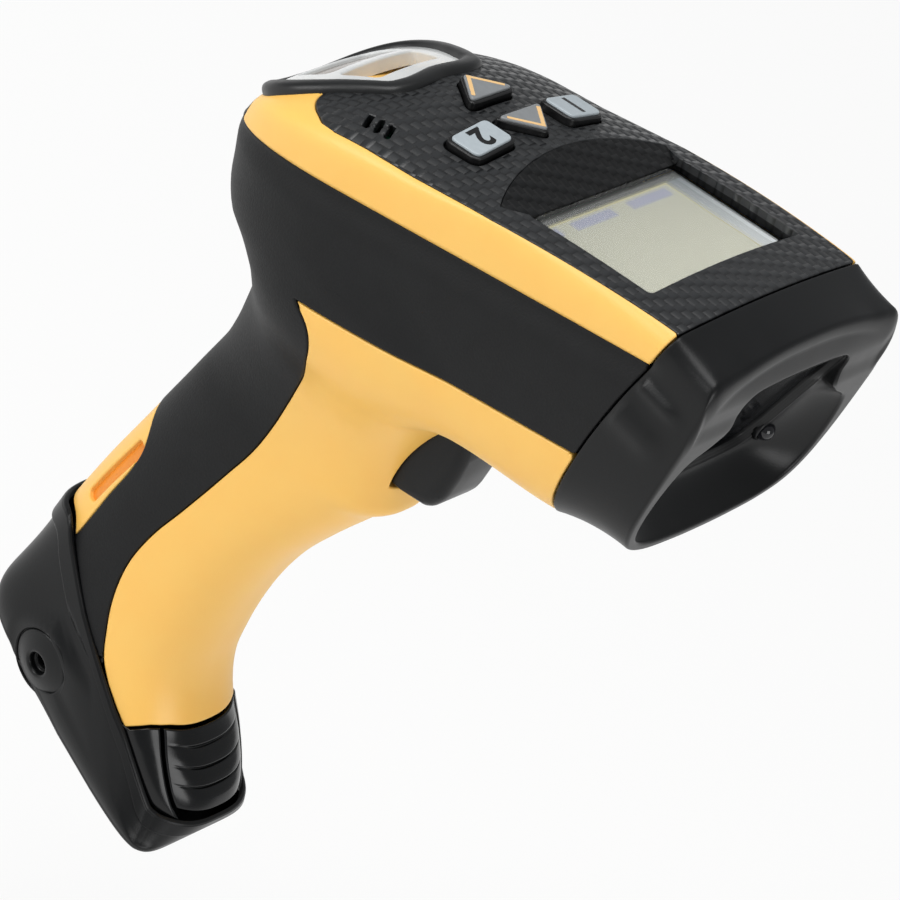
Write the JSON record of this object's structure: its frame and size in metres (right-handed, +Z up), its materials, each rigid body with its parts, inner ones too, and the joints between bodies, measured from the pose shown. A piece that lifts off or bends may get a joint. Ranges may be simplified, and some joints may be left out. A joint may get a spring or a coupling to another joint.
{
  "type": "handheld barcode scanner",
  "caption": "Cordless pistol-grip barcode scanner with a tilted head, display, keys, trigger and a latched battery foot.",
  "frame": {"origin": "under the middle of the scanner's length and width, at the height of the foot's lowest edge", "axes": "+X is the scan direction, +Y the scanner's left, +Z up from the foot to the head"},
  "size_m": [0.1302, 0.0738, 0.2127],
  "materials": {
    "yellow": "satin moulded yellow plastic",
    "soft": "fine matt soft-touch black",
    "black": "satin black plastic",
    "weave": "black with a fine weave relief",
    "window": "clear display window",
    "lcd": "pale cream reflective display",
    "key": "light grey key caps",
    "board": "green circuit board",
    "steel": "plain steel",
    "inner": "black moulded parts",
    "lens": "clear indicator lens",
    "scan_glass": "dark red filter window",
    "rubber": "black foam rubber",
    "optic": "dark optic",
    "diffuser": "milky diffuser",
    "carrier": "dark grey moulded carrier",
    "brass": "plated contacts",
    "case": "dark grey battery case",
    "cell": "blue sleeve",
    "contact": "black dished contact",
    "gloss": "glossy black plastic"
  },
  "bodies": {
    "body": {"upper_housing": "yellow", "lower_housing": "yellow", "overmold": "soft", "back_strip": "yellow", "nose_cap": "black", "top_panel": "weave", "display_bezel": "black", "display_window": "window", "lcd_module": "lcd", "key_board": "board", "key_switches": "steel", "beeper": "inner", "bumper_loop": "black", "indicator_lens": "lens", "indicator_board": "board", "main_board": "board", "radio_module": "steel", "scan_window": "scan_glass", "window_seal": "rubber", "scan_engine": "inner", "engine_lens": "optic", "aimer_lens": "optic", "light_board": "board", "light_diffuser": "diffuser", "engine_bracket": "carrier", "trigger_pin": "steel", "trigger_spring": "steel", "trigger_mount": "carrier", "trigger_switch": "inner", "contact_block": "carrier", "contact_pins": "brass"},
    "trigger": {"trigger": "black"},
    "key_up": {"key_up": "key"},
    "key_down": {"key_down": "key"},
    "key_1": {"key_1": "key"},
    "key_2": {"key_2": "key"},
    "battery": {"battery_case": "case", "battery_cells": "cell", "pack_carrier": "carrier", "foot_cap": "black", "charge_contacts": "contact", "latch_frame": "gloss", "latch_spring": "steel"},
    "latch": {"release_latch": "gloss"}
  },
  "joints": [
    {"name": "trigger_hinge", "type": "hinge", "parent": "body", "child": "trigger", "pos_m": [0.0051, 0, 0.142], "axis": [0, 1, 0], "range_deg": [0, 9], "stiffness_Nm_per_rad": 0.6, "springref_deg": -5.73, "deforming": ["trigger_spring"]},
    {"name": "up_press", "type": "slide", "parent": "body", "child": "key_up", "axis": [0.2233, 0, -0.9748], "range_m": [0, 0.0008], "stiffness_N_per_m": 1500, "springref_m": -0.0006},
    {"name": "down_press", "type": "slide", "parent": "body", "child": "key_down", "axis": [0.2233, 0, -0.9748], "range_m": [0, 0.0008], "stiffness_N_per_m": 1500, "springref_m": -0.0006},
    {"name": "one_press", "type": "slide", "parent": "body", "child": "key_1", "axis": [0.221, -0.1416, -0.9649], "range_m": [0, 0.0008], "stiffness_N_per_m": 1500, "springref_m": -0.0006},
    {"name": "two_press", "type": "slide", "parent": "body", "child": "key_2", "axis": [0.221, 0.1416, -0.9649], "range_m": [0, 0.0008], "stiffness_N_per_m": 1500, "springref_m": -0.0006},
    {"name": "battery_slide", "type": "slide", "parent": "body", "child": "battery", "axis": [-0.1201, 0, -0.9928], "range_m": [0, 0.08]},
    {"name": "latch_slide", "type": "slide", "parent": "battery", "child": "latch", "axis": [0.6947, 0, -0.7193], "range_m": [0, 0.0015], "stiffness_N_per_m": 800, "springref_m": -0.001, "deforming": ["latch_spring"]}
  ]
}
